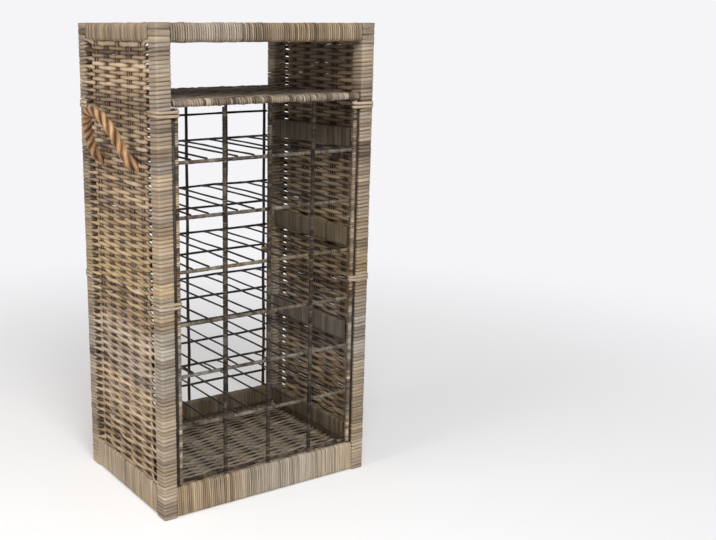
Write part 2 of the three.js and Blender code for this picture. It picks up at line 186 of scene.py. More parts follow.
# Dark cores are a little fuller on two of their four sides
BAR = np.array([[1.06, 1, 1, 1.06, 1.06, 1, 1, 1.06]])


def unit(vectors):
    """The same directions at length 1."""
    return vectors / np.maximum(np.linalg.norm(vectors, axis=-1, keepdims=True), 1e-12)


def smooth(t):
    """From 0 to 1 with soft ends."""
    t = np.clip(t, 0, 1)
    return t * t * (3 - 2 * t)


def drift(count, size, every):
    """A slow random wander of count values, with a new goal after every so many."""
    knots = max(2, int(count / every) + 2)
    goals = rng.normal(0, size, knots)
    return np.interp(np.linspace(0, knots - 1, count), np.arange(knots), goals)


def run_along(path):
    """The length of path up to each of its points."""
    return np.r_[0, np.cumsum(np.linalg.norm(np.diff(path, axis=0), axis=1))]


def basis(axis):
    """The direction of a bar along axis, and the two across it."""
    return np.roll(np.eye(3), -axis, axis=0)


def reach(low, high):
    """How far the nearer and the farther end of a span are from the middle of the case."""
    return sorted((abs(low), abs(high)))


class Strands:
    """Strands of one piece, swept one after the other into one mesh."""

    def __init__(self):
        self.points, self.faces, self.tones, self.places = [], [], [], []
        self.maps, self.slots = [], []
        self.count, self.length, self.area = 0, 0.0, 0.0

    def sweep(self, path, out, thick, wide, tone, hue=None, sides=8, shape=None, slot=0,
              groove_shade=0.16, lit=0.0):
        """A strand along path: half its size is thick towards out, and wide across it.
        Its edges are darker by the groove shade, painted shade between strands, and its face towards out
        is lighter by lit than the other one, painted light and shade."""
        path = np.asarray(path, float)
        count = len(path)
        along = unit(np.gradient(path, axis=0))
        side = unit(np.cross(along, np.broadcast_to(out, path.shape)))
        up = np.cross(side, along)
        angle = 2 * np.pi * (np.arange(sides) + 0.5) / sides
        thick = np.broadcast_to(thick, count)[:, None, None]
        wide = np.broadcast_to(wide, count)[:, None, None]
        ring = up[:, None] * thick * np.cos(angle)[:, None]
        ring = ring + side[:, None] * wide * np.sin(angle)[:, None]
        if shape is not None:
            ring = ring * shape[..., None]
        self.points.append((path[:, None] + ring).reshape(-1, 3))

        # Painted light and shade: lighter on the face towards out by lit, darker towards the edges
        shade = np.outer(np.broadcast_to(lit, count), np.cos(angle))
        shade = shade - groove_shade * (1 - np.abs(np.cos(angle)))
        self.tones.append((np.broadcast_to(tone, count)[:, None] + shade).ravel())
        run = run_along(path)
        place = np.empty((count, sides, 3))
        place[..., 0] = run[:, None] + GRAIN_LENGTH * rng.random()
        place[..., 1] = np.sin(angle) / 2
        place[..., 2] = rng.random() if hue is None else hue
        self.places.append(place.reshape(-1, 3))
        self.cover(run, sides, slot)
        self.area += run[-1] * 2 * (thick.mean() + wide.mean()) * MAP_SLACK

    def cover(self, run, sides, slot):
        """Faces along a strand and over its two ends, and their places in the bake map."""
        count = len(run)
        i, j = np.meshgrid(np.arange(count - 1), np.arange(sides), indexing="ij")
        k = (j + 1) % sides
        corners = (i * sides + j, i * sides + k, (i + 1) * sides + k, (i + 1) * sides + j)
        body = np.stack(corners, -1).reshape(-1, 4)
        fan = np.array([[0, a, a + 1, a + 2] for a in range(1, sides - 2, 2)])
        faces = np.concatenate([body, fan[:, ::-1], fan + (count - 1) * sides])
        self.faces.append(faces + self.count)
        s = self.length + run
        corners = ((s[i], j), (s[i], j + 1), (s[i + 1], j + 1), (s[i + 1], j))
        flat = np.stack([np.stack([u, v / sides], -1) for u, v in corners], 2).reshape(-1, 4, 2)
        ends = len(fan)
        self.maps.append(np.concatenate([flat, flat[:ends], flat[-ends:]]))
        self.slots.append(np.full(len(faces), slot))
        self.count += count * sides
        self.length += run[-1] + MAP_GAP

    def make(self, name, materials, nodes, body="case"):
        """The mesh as a piece that rides on body, if there is one, in place of the CAD nodes."""
        points, faces = np.concatenate(self.points), np.concatenate(self.faces)
        mesh = bpy.data.meshes.new(name)
        mesh.vertices.add(len(points))
        mesh.vertices.foreach_set("co", points.astype(np.float32).ravel())
        mesh.loops.add(faces.size)
        mesh.loops.foreach_set("vertex_index", faces.astype(np.int32).ravel())
        mesh.polygons.add(len(faces))
        mesh.polygons.foreach_set("loop_start", np.arange(0, faces.size, 4, dtype=np.int32))
        mesh.polygons.foreach_set("material_index", np.concatenate(self.slots).astype(np.int32))
        mesh.polygons.foreach_set("use_smooth", np.ones(len(faces), bool))
        mesh.update(calc_edges=True)
        tone = mesh.attributes.new("tone", "FLOAT", "POINT")
        tone.data.foreach_set("value", np.concatenate(self.tones).astype(np.float32))
        place = mesh.attributes.new("strand", "FLOAT_VECTOR", "POINT")
        place.data.foreach_set("vector", np.concatenate(self.places).astype(np.float32).ravel())

        strip = math.sqrt(self.area)
        flat = np.concatenate(self.maps)
        row = np.floor(flat[:, :1, 0] / strip)
        uv = np.empty_like(flat)
        uv[..., 0] = (flat[..., 0] - row * strip) / (strip + MAP_OVERHANG)
        uv[..., 1] = (row + MAP_MARGIN + (1 - 2 * MAP_MARGIN) * flat[..., 1]) / (row.max() + 1)
        mesh.uv_layers.new(name="OFBake").data.foreach_set("uv", uv.astype(np.float32).ravel())

        piece = bpy.data.objects.new(name, mesh)
        bpy.context.scene.collection.objects.link(piece)
        for material in materials:
            mesh.materials.append(material)
        if body:
            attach(piece, body)
        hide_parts(*nodes)
        return piece


def outline(wide, high, radius):
    """A rounded rectangle, anticlockwise: its points, outward normals and shares of the way round."""
    corner_points, gap = 4, 9 * MM
    x, y = wide / 2 - radius, high / 2 - radius
    arcs = []
    for quarter, (cx, cy) in enumerate(((x, y), (-x, y), (-x, -y), (x, -y))):
        for a in np.linspace(quarter, quarter + 1, corner_points) * np.pi / 2:
            arcs.append((cx + radius * np.cos(a), cy + radius * np.sin(a), np.cos(a), np.sin(a)))
    full = []
    for a, b in zip(arcs, arcs[1:] + arcs[:1]):
        a, b = np.array(a), np.array(b)
        distance = np.linalg.norm(b[:2] - a[:2])
        if distance > 1e-7:
            count = int(distance / gap) + 1
            full += [a + (b - a) * i / count for i in range(count)]
    full = np.array(full)
    steps = np.linalg.norm(np.roll(full[:, :2], -1, 0) - full[:, :2], axis=1)
    share = np.r_[0, np.cumsum(steps)[:-1]] / steps.sum()
    return full[:, :2], full[:, 2:], share


def circle(radius, count):
    """A circle in the same form as an outline."""
    a = 2 * np.pi * np.arange(count) / count
    ring = np.stack([np.cos(a), np.sin(a)], 1)
    return ring * radius, ring, np.arange(count) / count


def wind(strands, start, axis, length, ring, pitch, thick, tint, runs,
         rough=1.0, slot=0, phase=0.0, groove_shade=0.2, shape=None, mottle=0.03):
    """Turns of rattan round a bar: ring is the outline that the middle of the strand follows.
    One strand makes a random number of turns, from the first of runs to below the second."""
    axis, across, upward = basis(axis)
    points, normals, share = ring
    corners = len(points)
    turns = max(1, round(length / pitch))
    half = length / turns / 2
    knots = np.arange(turns + 2)
    shift = rng.normal(phase, 0.05 * rough, turns + 2) * pitch
    swell = rng.normal(0, 0.16 * thick * rough, turns + 2)
    width = 1 + rng.normal(0, 0.05 * rough, turns + 2)
    first = 0
    while first < turns:
        last = min(turns, first + int(rng.integers(*runs)))
        step = np.arange(first * corners, last * corners + 1)
        corner = step % corners
        turn = step // corners + share[corner]
        away = half + (length - 2 * half) * turn / turns + np.interp(turn, knots, shift)
        away = np.clip(away, half, length - half)
        out = across * normals[corner, :1] + upward * normals[corner, 1:]
        bulge = np.interp(turn, knots, swell)
        bulge[[0, -1]] -= 2 * thick
        path = start + axis * away[:, None] + out * bulge[:, None]
        path = path + across * points[corner, :1] + upward * points[corner, 1:]
        tone, hue = tint(path[len(path) // 2])
        tone = tone + np.interp(turn, knots, rng.normal(0, mottle, turns + 2))
        wide = half * np.interp(turn, knots, width)
        # Painted shade darkens the edges of each turn, where the turns lie together
        strands.sweep(path, out, thick, wide, tone, hue, shape=shape, slot=slot, groove_shade=groove_shade)
        first = last


def core(strands, start, axis, length, wide, high, slot):
    """The dark bar under a winding."""
    axis, across, _ = basis(axis)
    path = start + axis * np.linspace(0.5 * MM, length - 0.5 * MM, 3)[:, None]
    strands.sweep(path, across, wide / 2, high / 2, 0.0, shape=BAR, slot=slot)


# Materials

def colour(r, g, b):
    """A colour written as 0 to 255 on the screen."""
    shares = [c / 255 for c in (r, g, b)]
    return tuple(((c + 0.055) / 1.055) ** 2.4 if c > 0.04045 else c / 12.92 for c in shares) + (1.0,)


class Nodes:
    """The node tree of a material or a world, with short ways to add and join nodes."""

    def __init__(self, owner, shader="Principled BSDF"):
        owner.use_nodes = True
        self.owner = owner
        self.tree = owner.node_tree
        self.shader = self.tree.nodes[shader]

    def add(self, kind, inputs=None, **values):
        node = self.tree.nodes.new(kind)
        for key, value in values.items():
            setattr(node, key, value)
        for key, value in (inputs or {}).items():
            self.put(node, key, value)
        return node

    def put(self, node, key, value):
        if isinstance(value, bpy.types.NodeSocket):
            self.tree.links.new(value, node.inputs[key])
        else:
            node.inputs[key].default_value = value

    def ramp(self, value, stops):
        node = self.add("ShaderNodeValToRGB", {"Fac": value})
        elements = node.color_ramp.elements
        while len(elements) < len(stops):
            elements.new(0.5)
        for element, (place, tint) in zip(elements, stops):
            element.position = place
            element.color = tint
        return node.outputs["Color"]

    def noise(self, vector, scale, detail=3.0, roughness=0.55):
        inputs = {"Vector": vector, "Scale": scale, "Detail": detail, "Roughness": roughness}
        return self.add("ShaderNodeTexNoise", inputs).outputs["Fac"]

    def stretch(self, vector, scale):
        return self.add("ShaderNodeMapping", {"Vector": vector, "Scale": scale}).outputs["Vector"]

    def attribute(self, name, output):
        return self.add("ShaderNodeAttribute", attribute_name=name).outputs[output]

    def place(self, output="Object"):
        return self.add("ShaderNodeTexCoord").outputs[output]

    def span(self, value, low, high, to_low, to_high, how="LINEAR"):
        inputs = {"Value": value, "From Min": low, "From Max": high, "To Min": to_low, "To Max": to_high}
        return self.add("ShaderNodeMapRange", inputs, interpolation_type=how).outputs["Result"]

    def multiply(self, a, b):
        node = self.add("ShaderNodeMix", data_type="RGBA", blend_type="MULTIPLY")
        for index, value in ((0, 1.0), (6, a), (7, b)):
            self.put(node, index, value)
        return node.outputs[2]

    def math(self, how, a, b):
        return self.add("ShaderNodeMath", {0: a, 1: b}, operation=how).outputs[0]

    def bump(self, strength, distance, height):
        node = self.add("ShaderNodeBump", {"Strength": strength, "Distance": distance, "Height": height})
        self.put(self.shader, "Normal", node.outputs["Normal"])

    def seen(self):
        """1 for rays that see the background: from the camera, or by way of a shiny or a clear piece."""
        rays = self.add("ShaderNodeLightPath")
        either = self.math("MAXIMUM", rays.outputs["Is Camera Ray"], rays.outputs["Is Glossy Ray"])
        return self.math("MAXIMUM", either, rays.outputs["Is Transmission Ray"])

    def blend(self, share, other, output):
        """The shader that goes over into another one by share."""
        shaders = {0: share, 1: self.shader.outputs[0], 2: other.outputs[0]}
        both = self.add("ShaderNodeMixShader", shaders)
        self.put(self.tree.nodes[output], "Surface", both.outputs[0])


def new_material(name):
    return Nodes(bpy.data.materials.new(name))


# Cane by its tone, and by the batch that it came from
RATTAN = (
    (0.0, colour(44, 31, 22)),
    (0.2, colour(90, 74, 58)),
    (0.4, colour(140, 123, 104)),
    (0.6, colour(177, 159, 137)),
    (0.8, colour(204, 188, 164)),
    (1.0, colour(228, 215, 193)),
)
BATCHES = (
    (0.0, (0.86, 0.95, 1.08, 1.0)),
    (0.35, (0.97, 0.98, 0.99, 1.0)),
    (0.6, (1.0, 0.965, 0.89, 1.0)),
    (1.0, (1.0, 0.965, 0.74, 1.0)),
)
IRON = (
    (0.35, colour(26, 22, 20)),
    (0.55, colour(46, 37, 32)),
    (0.75, colour(74, 54, 42)),
)
MANILA = (
    (0.0, colour(52, 34, 20)),
    (0.35, colour(118, 86, 56)),
    (0.65, colour(174, 132, 92)),
    (1.0, colour(218, 184, 140)),
)


def rattan(name, bright=1.0, warm=0.0):
    """Peeled rattan core: a tone and a batch for each strand, streaks along it, and weathered patches."""
    nodes = new_material(name)
    strand = nodes.attribute("strand", "Vector")
    streaks = nodes.noise(nodes.stretch(strand, (26.0, 5.0, 40.0)), 1.0, 4.0, 0.6)
    stains = nodes.noise(nodes.stretch(strand, (8.0, 0.6, 40.0)), 1.0, 2.0)
    weather = nodes.noise(nodes.stretch(nodes.place(), (3.0, 3.0, 9.0)), 1.0, 2.0)
    tone = nodes.attribute("tone", "Fac")
    tone = nodes.math("ADD", tone, nodes.span(stains, 0.3, 0.7, -0.09, 0.09))
    tone = nodes.math("ADD", tone, nodes.span(weather, 0.3, 0.7, -0.06, 0.06))
    tone = nodes.math("ADD", tone, nodes.span(streaks, 0.25, 0.75, -0.1, 0.08))
    batch = nodes.add("ShaderNodeSeparateXYZ", {"Vector": strand}).outputs["Z"]
    base = nodes.multiply(nodes.ramp(tone, RATTAN), nodes.ramp(batch, BATCHES))
    cool = bright * (1 - warm)
    nodes.put(nodes.shader, "Base Color", nodes.multiply(base, (bright, cool, cool, 1.0)))
    nodes.put(nodes.shader, "Roughness", nodes.span(streaks, 0.2, 0.8, 0.75, 0.55))
    nodes.put(nodes.shader, "Specular IOR Level", 0.3)
    nodes.bump(0.35, 0.4 * MM, streaks)
    return nodes.owner


def iron():
    """Black-brown lacquered iron, blotched and a little rusty."""
    nodes = new_material("dark_iron")
    place = nodes.place()
    rust = nodes.noise(place, 60.0, 4.0)
    grain = nodes.noise(place, 420.0)
    nodes.put(nodes.shader, "Base Color", nodes.ramp(rust, IRON))
    nodes.put(nodes.shader, "Roughness", nodes.span(grain, 0.3, 0.7, 0.45, 0.75))
    nodes.put(nodes.shader, "Specular IOR Level", 0.35)
    nodes.bump(0.3, 0.3 * MM, grain)
    return nodes.owner


def manila():
    """Golden-brown rope fibre, streaked along the strand."""
    nodes = new_material("manila_rope")
    strand = nodes.attribute("strand", "Vector")
    fibres = nodes.noise(nodes.stretch(strand, (24.0, 22.0, 1.0)), 1.0, 5.0, 0.65)
    blotch = nodes.noise(nodes.place(), 34.0, 2.0)
    tone = nodes.math("ADD", nodes.span(fibres, 0.25, 0.75, 0.0, 0.75), nodes.attribute("tone", "Fac"))
    tone = nodes.math("ADD", tone, nodes.span(blotch, 0.3, 0.7, -0.1, 0.25))
    nodes.put(nodes.shader, "Base Color", nodes.ramp(tone, MANILA))
    nodes.put(nodes.shader, "Roughness", nodes.span(fibres, 0.2, 0.8, 0.85, 0.6))
    nodes.put(nodes.shader, "Specular IOR Level", 0.25)
    nodes.put(nodes.shader, "Sheen Weight", 0.15)
    nodes.bump(0.6, 0.6 * MM, fibres)
    return nodes.owner


def plain(name, tint):
    """A blotched dull brown for what only shows in the gaps of a winding; for the cores the dark brown is
    painted shade.
    """
    nodes = new_material(name)
    lighter = tuple(c * 1.8 for c in tint[:3]) + (1.0,)
    blotch = nodes.noise(nodes.place(), 90.0)
    nodes.put(nodes.shader, "Base Color", nodes.ramp(blotch, ((0.3, tint), (0.7, lighter))))
    nodes.put(nodes.shader, "Roughness", 0.9)
    return nodes.owner


wrap_rattan = rattan("rattan_wrap")
weave_rattan = rattan("rattan_weave", 0.98, 0.04)
# Darker copies of the cane for the cross rails, the shelf and the floor: painted shade, as these lie
# inside the case
inner_shaded_rattan = rattan("rattan_inner_shaded", 0.55)
shelf_shaded_rattan = rattan("rattan_shelf_shaded", 0.6)
floor_shaded_rattan = rattan("rattan_floor_shaded", 0.65)
rod_rattan = rattan("rattan_rod", 0.34)
pole_rattan = plain("rattan_pole", colour(120, 96, 66))
# The cores' dark brown is painted shade in the gaps between turns
shadow_core = plain("rattan_core_painted_shade", colour(46, 35, 26))
dark_iron = iron()
rope_fibre = manila()

# Cane changes with the height of the case, so the wefts and the post turns go on into each other:
# warm grey at the ground, a bluish band, a golden one above it, then warm grey again
BAND_HEIGHTS = (0.0, 0.2, 0.3, 0.4, 0.5, 0.65, 0.75)
BAND_BATCHES = (0.05, 0.0, -0.4, 0.0, 0.28, 0.0, -0.05)
heights = np.linspace(0, 1, 34)
height_tones = 0.05 * rng.normal(0, 1, len(heights))
height_batches = 0.12 * rng.normal(0, 1, len(heights))
height_batches += np.interp(heights, BAND_HEIGHTS, BAND_BATCHES)

# Left to right, the long rails were wound from other batches: x, change of tone, change of batch
TOP_BATCHES = (
    (-0.24, 0.03, -0.1), (-0.1, 0.16, -0.3), (-0.04, 0.0, 0.05), (0.06, -0.02, 0.3), (0.22, 0.03, 0.3),
)
BASE_BATCHES = (
    (-0.22, -0.06, 0.3), (-0.09, -0.05, 0.3), (-0.03, 0.0, -0.25), (0.15, 0.03, -0.1), (0.22, 0.09, 0.2),
)


def cane(middle, spread, batch):
    """A way to give each strand its tone and batch."""
    def tint(point):
        tone = middle + np.interp(point[2], heights, height_tones) + rng.normal(0, spread)
        lot = batch + np.interp(point[2], heights, height_batches) + rng.normal(0, 0.1)
        return float(np.clip(tone, 0.05, 0.97)), float(np.clip(lot, 0, 1))
    return tint


def changing(tint, stops):
    """The same cane with a tone and a batch that change from left to right."""
    places, tones, lots = zip(*stops)

    def changed(point):
        tone, lot = tint(point)
        lot += np.interp(point[0], places, lots)
        return tone + np.interp(point[0], places, tones), float(np.clip(lot, 0, 1))
    return changed


post_cane = cane(0.48, 0.06, 0.34)
ring_cane = cane(0.46, 0.05, 0.25)
top_side_cane = cane(0.5, 0.05, 0.5)
top_end_cane = changing(cane(0.46, 0.05, 0.32), TOP_BATCHES)
base_side_cane = cane(0.57, 0.05, 0.2)
base_end_cane = changing(base_side_cane, BASE_BATCHES)
cross_cane = cane(0.5, 0.05, 0.5)
shelf_rail_cane = cane(0.47, 0.07, 0.3)
side_panel_cane = cane(0.56, 0.1, 0.66)
top_panel_cane = cane(0.56, 0.1, 0.5)
shelf_panel_cane = cane(0.62, 0.1, 0.4)
floor_panel_cane = cane(0.6, 0.08, 0.4)
level_cane = cane(0.68, 0.1, 0.3)
sill_cane = cane(0.45, 0.1, 0.3)
outer_upright_cane = cane(0.46, 0.07, 0.4)
inner_upright_cane = cane(0.3, 0.07, 0.4)


# Posts

def make_post(node, rail_low, phase):
    """Turns up to the top rails, closed rings at both ends, broad rings beside the rails,
    and strips over the post's end."""
    lo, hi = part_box(node)
    x, y = (lo.x + hi.x) / 2, (lo.y + hi.y) / 2
    ring = outline(hi.x - lo.x - 2 * POST_TURN, hi.y - lo.y - 2 * POST_TURN, POST_CORNER)
    turns = Strands()
    wind(turns, (x, y, lo.z), Z, rail_low - lo.z + ROW / 2, ring, ROW, POST_TURN,
         post_cane, (1, 5), phase=phase, shape=SNUG)

    broad = (hi.z - rail_low) / 6
    rings = [(lo.z + 0.57 * ROW, ROW / 2), (rail_low - 0.5 * ROW, ROW / 2)]
    rings += [(rail_low + k * broad, broad) for k in (1, 3, 5)]
    points, normals, _ = (np.concatenate([part, part[:1]]) for part in ring)
    out = np.pad(normals, ((0, 0), (0, 1)))
    for middle, half in rings:
        height = middle + drift(len(points), 0.15 * MM, 9)
        path = np.column_stack([x + points[:, 0], y + points[:, 1], height])
        tone, hue = ring_cane(path[0])
        turns.sweep(path, out, POST_TURN, half, tone, hue, shape=SNUG)

    strip = (hi.x - lo.x - 2 * MM) / 3
    along = np.linspace(lo.y + MM, hi.y - MM, 7)
    for place in (-1, 0, 1):
        path = np.column_stack(np.broadcast_arrays(x + place * strip, along, hi.z - POST_TURN))
        tone = 0.52 + rng.normal(0, 0.04)
        turns.sweep(path, UP, POST_TURN, strip / 2, tone, 0.4, shape=SNUG)
    turns.make(f"{node}.turns", [wrap_rattan], [node])


def make_posts():
    rail_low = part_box("top_rail_front")[0].z
    for side, sign in SIDES:
        for end, _ in ENDS:
            make_post(f"post_wrap_{end}_{side}", rail_low, 0.5 if sign > 0 else 0.0)


# Rails

def make_rail(node, axis, build, tint, runs, material, rough=1.0):
    """Turns on a dark core, along the whole of a rail."""
    pitch, thick, radius = build
    lo, hi = (np.array(corner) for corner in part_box(node))
    start = (lo + hi) / 2
    start[axis] = lo[axis] - RAIL_OVERRUN
    length, wide, high = np.roll(hi - lo, -axis)
    length += 2 * RAIL_OVERRUN
    ring = outline(wide - 2.4 * thick, high - 2.4 * thick, radius)
    turns = Strands()
    wind(turns, start, axis, length, ring, pitch, thick, tint, runs, rough=rough, groove_shade=0.32)
    core(turns, start, axis, length, wide - 3.6 * thick, high - 3.6 * thick, 1)
    turns.make(f"{node}.turns", [material, shadow_core], [node])


def make_shelf_rail(node):
    """Uneven turns round a round rail."""
    lo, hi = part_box(node)
    start, length = (lo.x, (lo.y + hi.y) / 2, (lo.z + hi.z) / 2), hi.x - lo.x
    radius = (hi.z - lo.z) / 2
    inside = 2 * radius - 4 * SHELF_TURN
    turns = Strands()
    wind(turns, start, X, length, circle(radius - SHELF_TURN, 14), SHELF_PITCH, SHELF_TURN,
         shelf_rail_cane, (1, 3), rough=2.6, mottle=0.1)
    core(turns, start, X, length, inside, inside, 1)
    turns.make(f"{node}.turns", [wrap_rattan, shadow_core], [node])


def make_rails():
    for places, axis, top, base in (
        (ENDS, X, top_end_cane, base_end_cane), (SIDES, Y, top_side_cane, base_side_cane),
    ):
        for name, _ in places:
            make_rail(f"top_rail_{name}", axis, TOP_RAIL, top, (1, 2), wrap_rattan, rough=1.5)
            make_rail(f"base_rail_{name}", axis, BASE_RAIL, base, (1, 2), wrap_rattan)
    for side, _ in SIDES:
        for i in range(1, CROSS_RAILS + 1):
            make_rail(f"cross_rail_{side}_{i}", Y, CROSS_RAIL, cross_cane, (1, 3), inner_shaded_rattan)
    make_rail("cross_rail_back", X, CROSS_RAIL, cross_cane, (1, 3), inner_shaded_rattan)
    for end, _ in ENDS:
        make_shelf_rail(f"shelf_rail_{end}")


# Woven panels

def stake_places(count, width):
    """Pairs of stakes across a panel, with three quarters of their spacing beyond the outer ones."""
    return (np.arange(count) - (count - 1) / 2) * width / (count + 0.5)


def past_stakes(u, last, edge, on_post):
    """How far past the last stake each point of a weft is, up to 1 at the edge, and its depth there."""
    beyond = smooth((np.abs(u) - last) / (edge - last))
    goal = BEHIND_POST_DEPTH
    if on_post:
        goal = ON_POST_DEPTH - SINK * smooth((np.abs(u) - edge - SINK_FROM) / SINK_OVER)
    at_stake = -WEFT_SWING if on_post else WEFT_SWING
    return beyond, (1 - beyond) * at_stake + beyond * goal


def weave(strands, rows, span, stakes, stake_span, place, out, wide, tint, dark, edge=None):
    """Wefts at each of rows, darker by dark on their face towards the stakes where they pass before and
    behind pairs of stakes: painted shade.
    Its place turns (along, row, depth) into a point. With an edge, every second weft runs on over
    the post there, and the others end behind it."""
    spacing, last = stakes[1] - stakes[0], stakes[-1]
    for number, row in enumerate(rows):
        low, high = span(row)
        above, below = len(rows) - 1 - number, number
        way = 1 if number % 2 == 0 else -1
        on_post = way * (-1) ** (len(stakes) - 1) < 0
        if edge:
            past = ON_POST if on_post else BEHIND_POST
            low, high = low - past, high + past
        u = np.linspace(low, high, int((high - low) / WEFT_STEP) + 1)
        wave = way * np.cos(np.pi * (u - stakes[0]) / spacing)
        wave = np.sign(wave) * np.abs(wave) ** WEFT_WAVE
        depth = WEFT_SWING * wave
        rim = (above == 0) - (below == 0)
        height = row + rim * RIM_LIFT + drift(len(u), 0.5 * MM, 6)
        swell = np.where(wave > 0, SWELL_BEFORE, SWELL_BEHIND) * np.abs(wave)
        size = wide * (1 + swell) * (1 + drift(len(u), 0.05, 6)) * (1 + SWELL_RIM * abs(rim))
        if edge:
            beyond, end_depth = past_stakes(u, last, edge, on_post)
            ends = np.abs(u) > last
            depth = np.where(ends, end_depth, depth)
            wave = np.where(ends, np.clip(depth / WEFT_SWING, -1, 1), wave)
            bent = math.exp(-above / BENT_ROWS) - math.exp(-below / BENT_ROWS)
            height = height + BENT_LIFT * beyond * bent
            size = size * (1 - POST_TAPER * beyond)
        tone, hue = tint(place(0.0, row, 0.0))
        # Painted shade in the slots at each pair of stakes, and darker weft edges
        shade = dark * np.abs(wave) ** SLOT_SHADE_EDGE
        tone = tone - shade + drift(len(u), 0.03, 14)
        path = place(u, height, depth + drift(len(u), 0.15 * MM, 5))
        strands.sweep(path, out, WEFT, size, tone, hue, groove_shade=0.36, lit=shade * np.sign(wave))
    for stake in stakes:
        v = np.linspace(*stake_span(stake), STAKE_POINTS)
        for offset in (-STAKE_PAIR / 2, STAKE_PAIR / 2):
            along = stake + offset + drift(STAKE_POINTS, 0.3 * MM, 6)
            path = place(along, v, drift(STAKE_POINTS, 0.2 * MM, 6))
            strands.sweep(path, out, STAKE, STAKE, 0.5 + rng.normal(0, 0.06), 0.6, sides=6)


def make_side_panel(node, sign):
    lo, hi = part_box(node)
    middle = (lo.x + hi.x) / 2
    rows = lo.z + (np.arange(ROWS) + 0.5) * ROW
    mesh = Strands()

    def place(u, v, w):
        return np.stack(np.broadcast_arrays(middle + sign * w, u, v), -1)

    stakes = stake_places(SIDE_STAKES, hi.y - lo.y)
    weave(mesh, rows, lambda v: (lo.y, hi.y), stakes, lambda u: (lo.z, hi.z), place, (sign, 0, 0),
          SIDE_WEFT_WIDE, side_panel_cane, 0.5, hi.y)
    mesh.make(f"{node}.weave", [weave_rattan], [node])


def make_flat_panel(node, pitch, material, tint, notch=None):
    """A level panel; its corners beyond notch are left out."""
    lo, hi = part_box(node)
    middle = (lo.z + hi.z) / 2
    count = round((hi.y - lo.y) / pitch)
    rows = lo.y + (np.arange(count) + 0.5) * (hi.y - lo.y) / count
    edge = hi.x
    notch_x, notch_y = notch or (hi.x, hi.y)
    mesh = Strands()

    def span(v):
        return (-edge, edge) if notch is None or abs(v) < notch_y else (-notch_x, notch_x)

    def stake_span(u):
        return (lo.y, hi.y) if notch is None or abs(u) < notch_x else (-notch_y, notch_y)

    def place(u, v, w):
        return np.stack(np.broadcast_arrays(u, v, middle + w), -1)

    weave(mesh, rows, span, stake_places(FLAT_STAKES, 2 * edge), stake_span,
          place, UP, FLAT_WEFT_SHARE * pitch, tint, 0.4)
    mesh.make(f"{node}.weave", [material], [node])


def make_panels():
    for side, sign in SIDES:
        make_side_panel(f"side_panel_{side}", sign)
    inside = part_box("top_panel")[1][:2]
    make_flat_panel("top_panel", FLAT_PITCH, weave_rattan, top_panel_cane)
    make_flat_panel("shelf_panel", SHELF_WEFT_PITCH, shelf_shaded_rattan, shelf_panel_cane, inside)
    make_flat_panel("floor_panel", FLAT_PITCH, floor_shaded_rattan, floor_panel_cane, inside)


# The bottle rack

def rod(strands, a, b, radius, sink=0.0):
    """An iron rod from a to b, a little uneven, whose far end may sink."""
    a, b = np.array(a, float), np.array(b, float)
    length = np.linalg.norm(b - a)
    count = max(6, int(length / ROD_STEP))
    t = np.linspace(0, 1, count)[:, None]
    path = a + (b - a) * t - (0, 0, sink) * smooth(10 * t - 9)
    sway = np.stack([drift(count, ROD_BEND, 6) for _ in range(3)], 1)
    sway[[0, -1]] = 0
    size = radius * (1 + drift(count, 0.06, 1.5))
    out = UP if abs(b[2] - a[2]) < 0.5 * length else (0, 1, 0)
    strands.sweep(path + sway, out, size, size, 0.5)


def wound_rod(strands, start, axis, length, radius, tint, slot=0):
    """A rod bound in fine cane."""
    wind(strands, start, axis, length, circle(radius - ROD_TURN, 10), ROD_PITCH, ROD_TURN, tint, (2, 10),
         rough=1.3, slot=slot, groove_shade=0.4, mottle=0.16)


def make_level(node, centres):
    """A back rod, a pair of slats for each bottle and a wound front rod. Returns the slats' height."""
    lo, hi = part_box(node)
    z = hi.z - SLAT
    front, back = lo.y + FRONT_ROD, hi.y - BACK_ROD
    low = z - SLAT - BACK_ROD + WELD
    grid = Strands()
    rod(grid, (lo.x, back, low), (hi.x, back, low), BACK_ROD)
    for x in centres:
        for place in (x - SLATS_APART / 2, x + SLATS_APART / 2):
            skew = rng.normal(0, 1.2 * MM)
            rod(grid, (place + skew, front - SLAT_OVERHANG, z), (place - skew, back, z), SLAT, SLAT_SINK)
    start = (lo.x, front, lo.z + FRONT_ROD)
    wound_rod(grid, start, X, hi.x - lo.x, FRONT_ROD, level_cane, 1)
    grid.make(f"{node}.rods", [dark_iron, rod_rattan], [node])
    return z


def make_upright(node, x, radius, outer):
    """A wound upright; an outer one has a dark strip between itself and the post."""
    lo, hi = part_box(node)
    y, length = (lo.y + hi.y) / 2, hi.z - lo.z
    turns = Strands()
    wound_rod(turns, (x, y, lo.z), Z, length, radius, outer_upright_cane if outer else inner_upright_cane)
    if outer:
        post = lo.x if x < 0 else hi.x
        strip = abs(post - x) - STRIP_GAP
        core(turns, ((x + post) / 2, y, lo.z), Z, length, strip, STRIP_THICK, 1)
    turns.make(f"{node}.turns", [wrap_rattan if outer else rod_rattan, dark_iron], [node])


def make_sill(node):
    lo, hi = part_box(node)
    start = (lo.x, (lo.y + hi.y) / 2, (lo.z + hi.z) / 2)
    turns = Strands()
    wound_rod(turns, start, X, hi.x - lo.x, FRONT_ROD, sill_cane)
    turns.make(f"{node}.turns", [rod_rattan], [node])


def make_grille(node, columns, level_tops):
    """Bare uprights, and a stop rod across the middle of each row of bottles."""
    lo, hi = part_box(node)
    upright_y, stop_y = hi.y - BACK_UPRIGHT, lo.y + BACK_ROD
    grid = Strands()
    for x in columns:
        rod(grid, (x, upright_y, lo.z), (x, upright_y, hi.z), BACK_UPRIGHT)
    pitch = level_tops[0] - level_tops[1]
    for row in range(LEVELS + 1):
        z = level_tops[0] + (0.5 - row) * pitch
        rod(grid, (lo.x, stop_y, z), (hi.x, stop_y, z), BACK_ROD)
    grid.make(f"{node}.rods", [dark_iron], [node])


